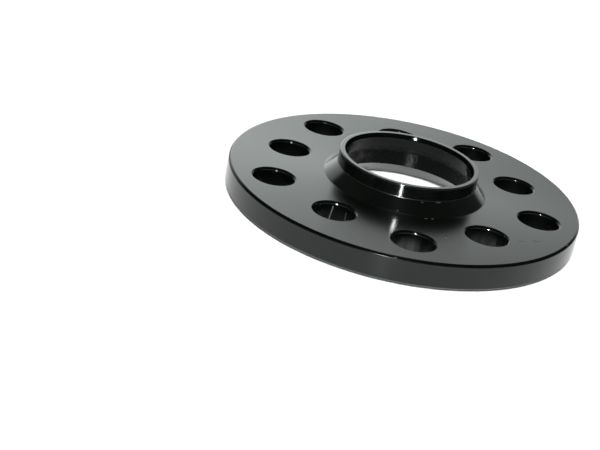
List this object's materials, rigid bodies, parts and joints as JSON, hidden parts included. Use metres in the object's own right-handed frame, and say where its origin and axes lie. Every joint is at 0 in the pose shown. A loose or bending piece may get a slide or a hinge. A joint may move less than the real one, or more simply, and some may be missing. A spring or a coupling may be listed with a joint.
{
  "type": "wheel spacer",
  "caption": "Flat round hub-centric wheel spacer with a countersunk hub bore, a coned centring lip and interleaved circles of bolt holes, black anodised.",
  "frame": {"origin": "centre of the hub face, the flat back that lies on the hub, on the spacer's axis", "axes": "+Z along the axis from the hub face to the lip, +Y through a hole of the 100 mm bolt circle"},
  "size_m": [0.144, 0.144, 0.0205],
  "materials": {
    "black_anodised": "black anodised over fine turning marks, semi-gloss"
  },
  "bodies": {
    "root": {"spacer": "black_anodised"}
  },
  "joints": []
}
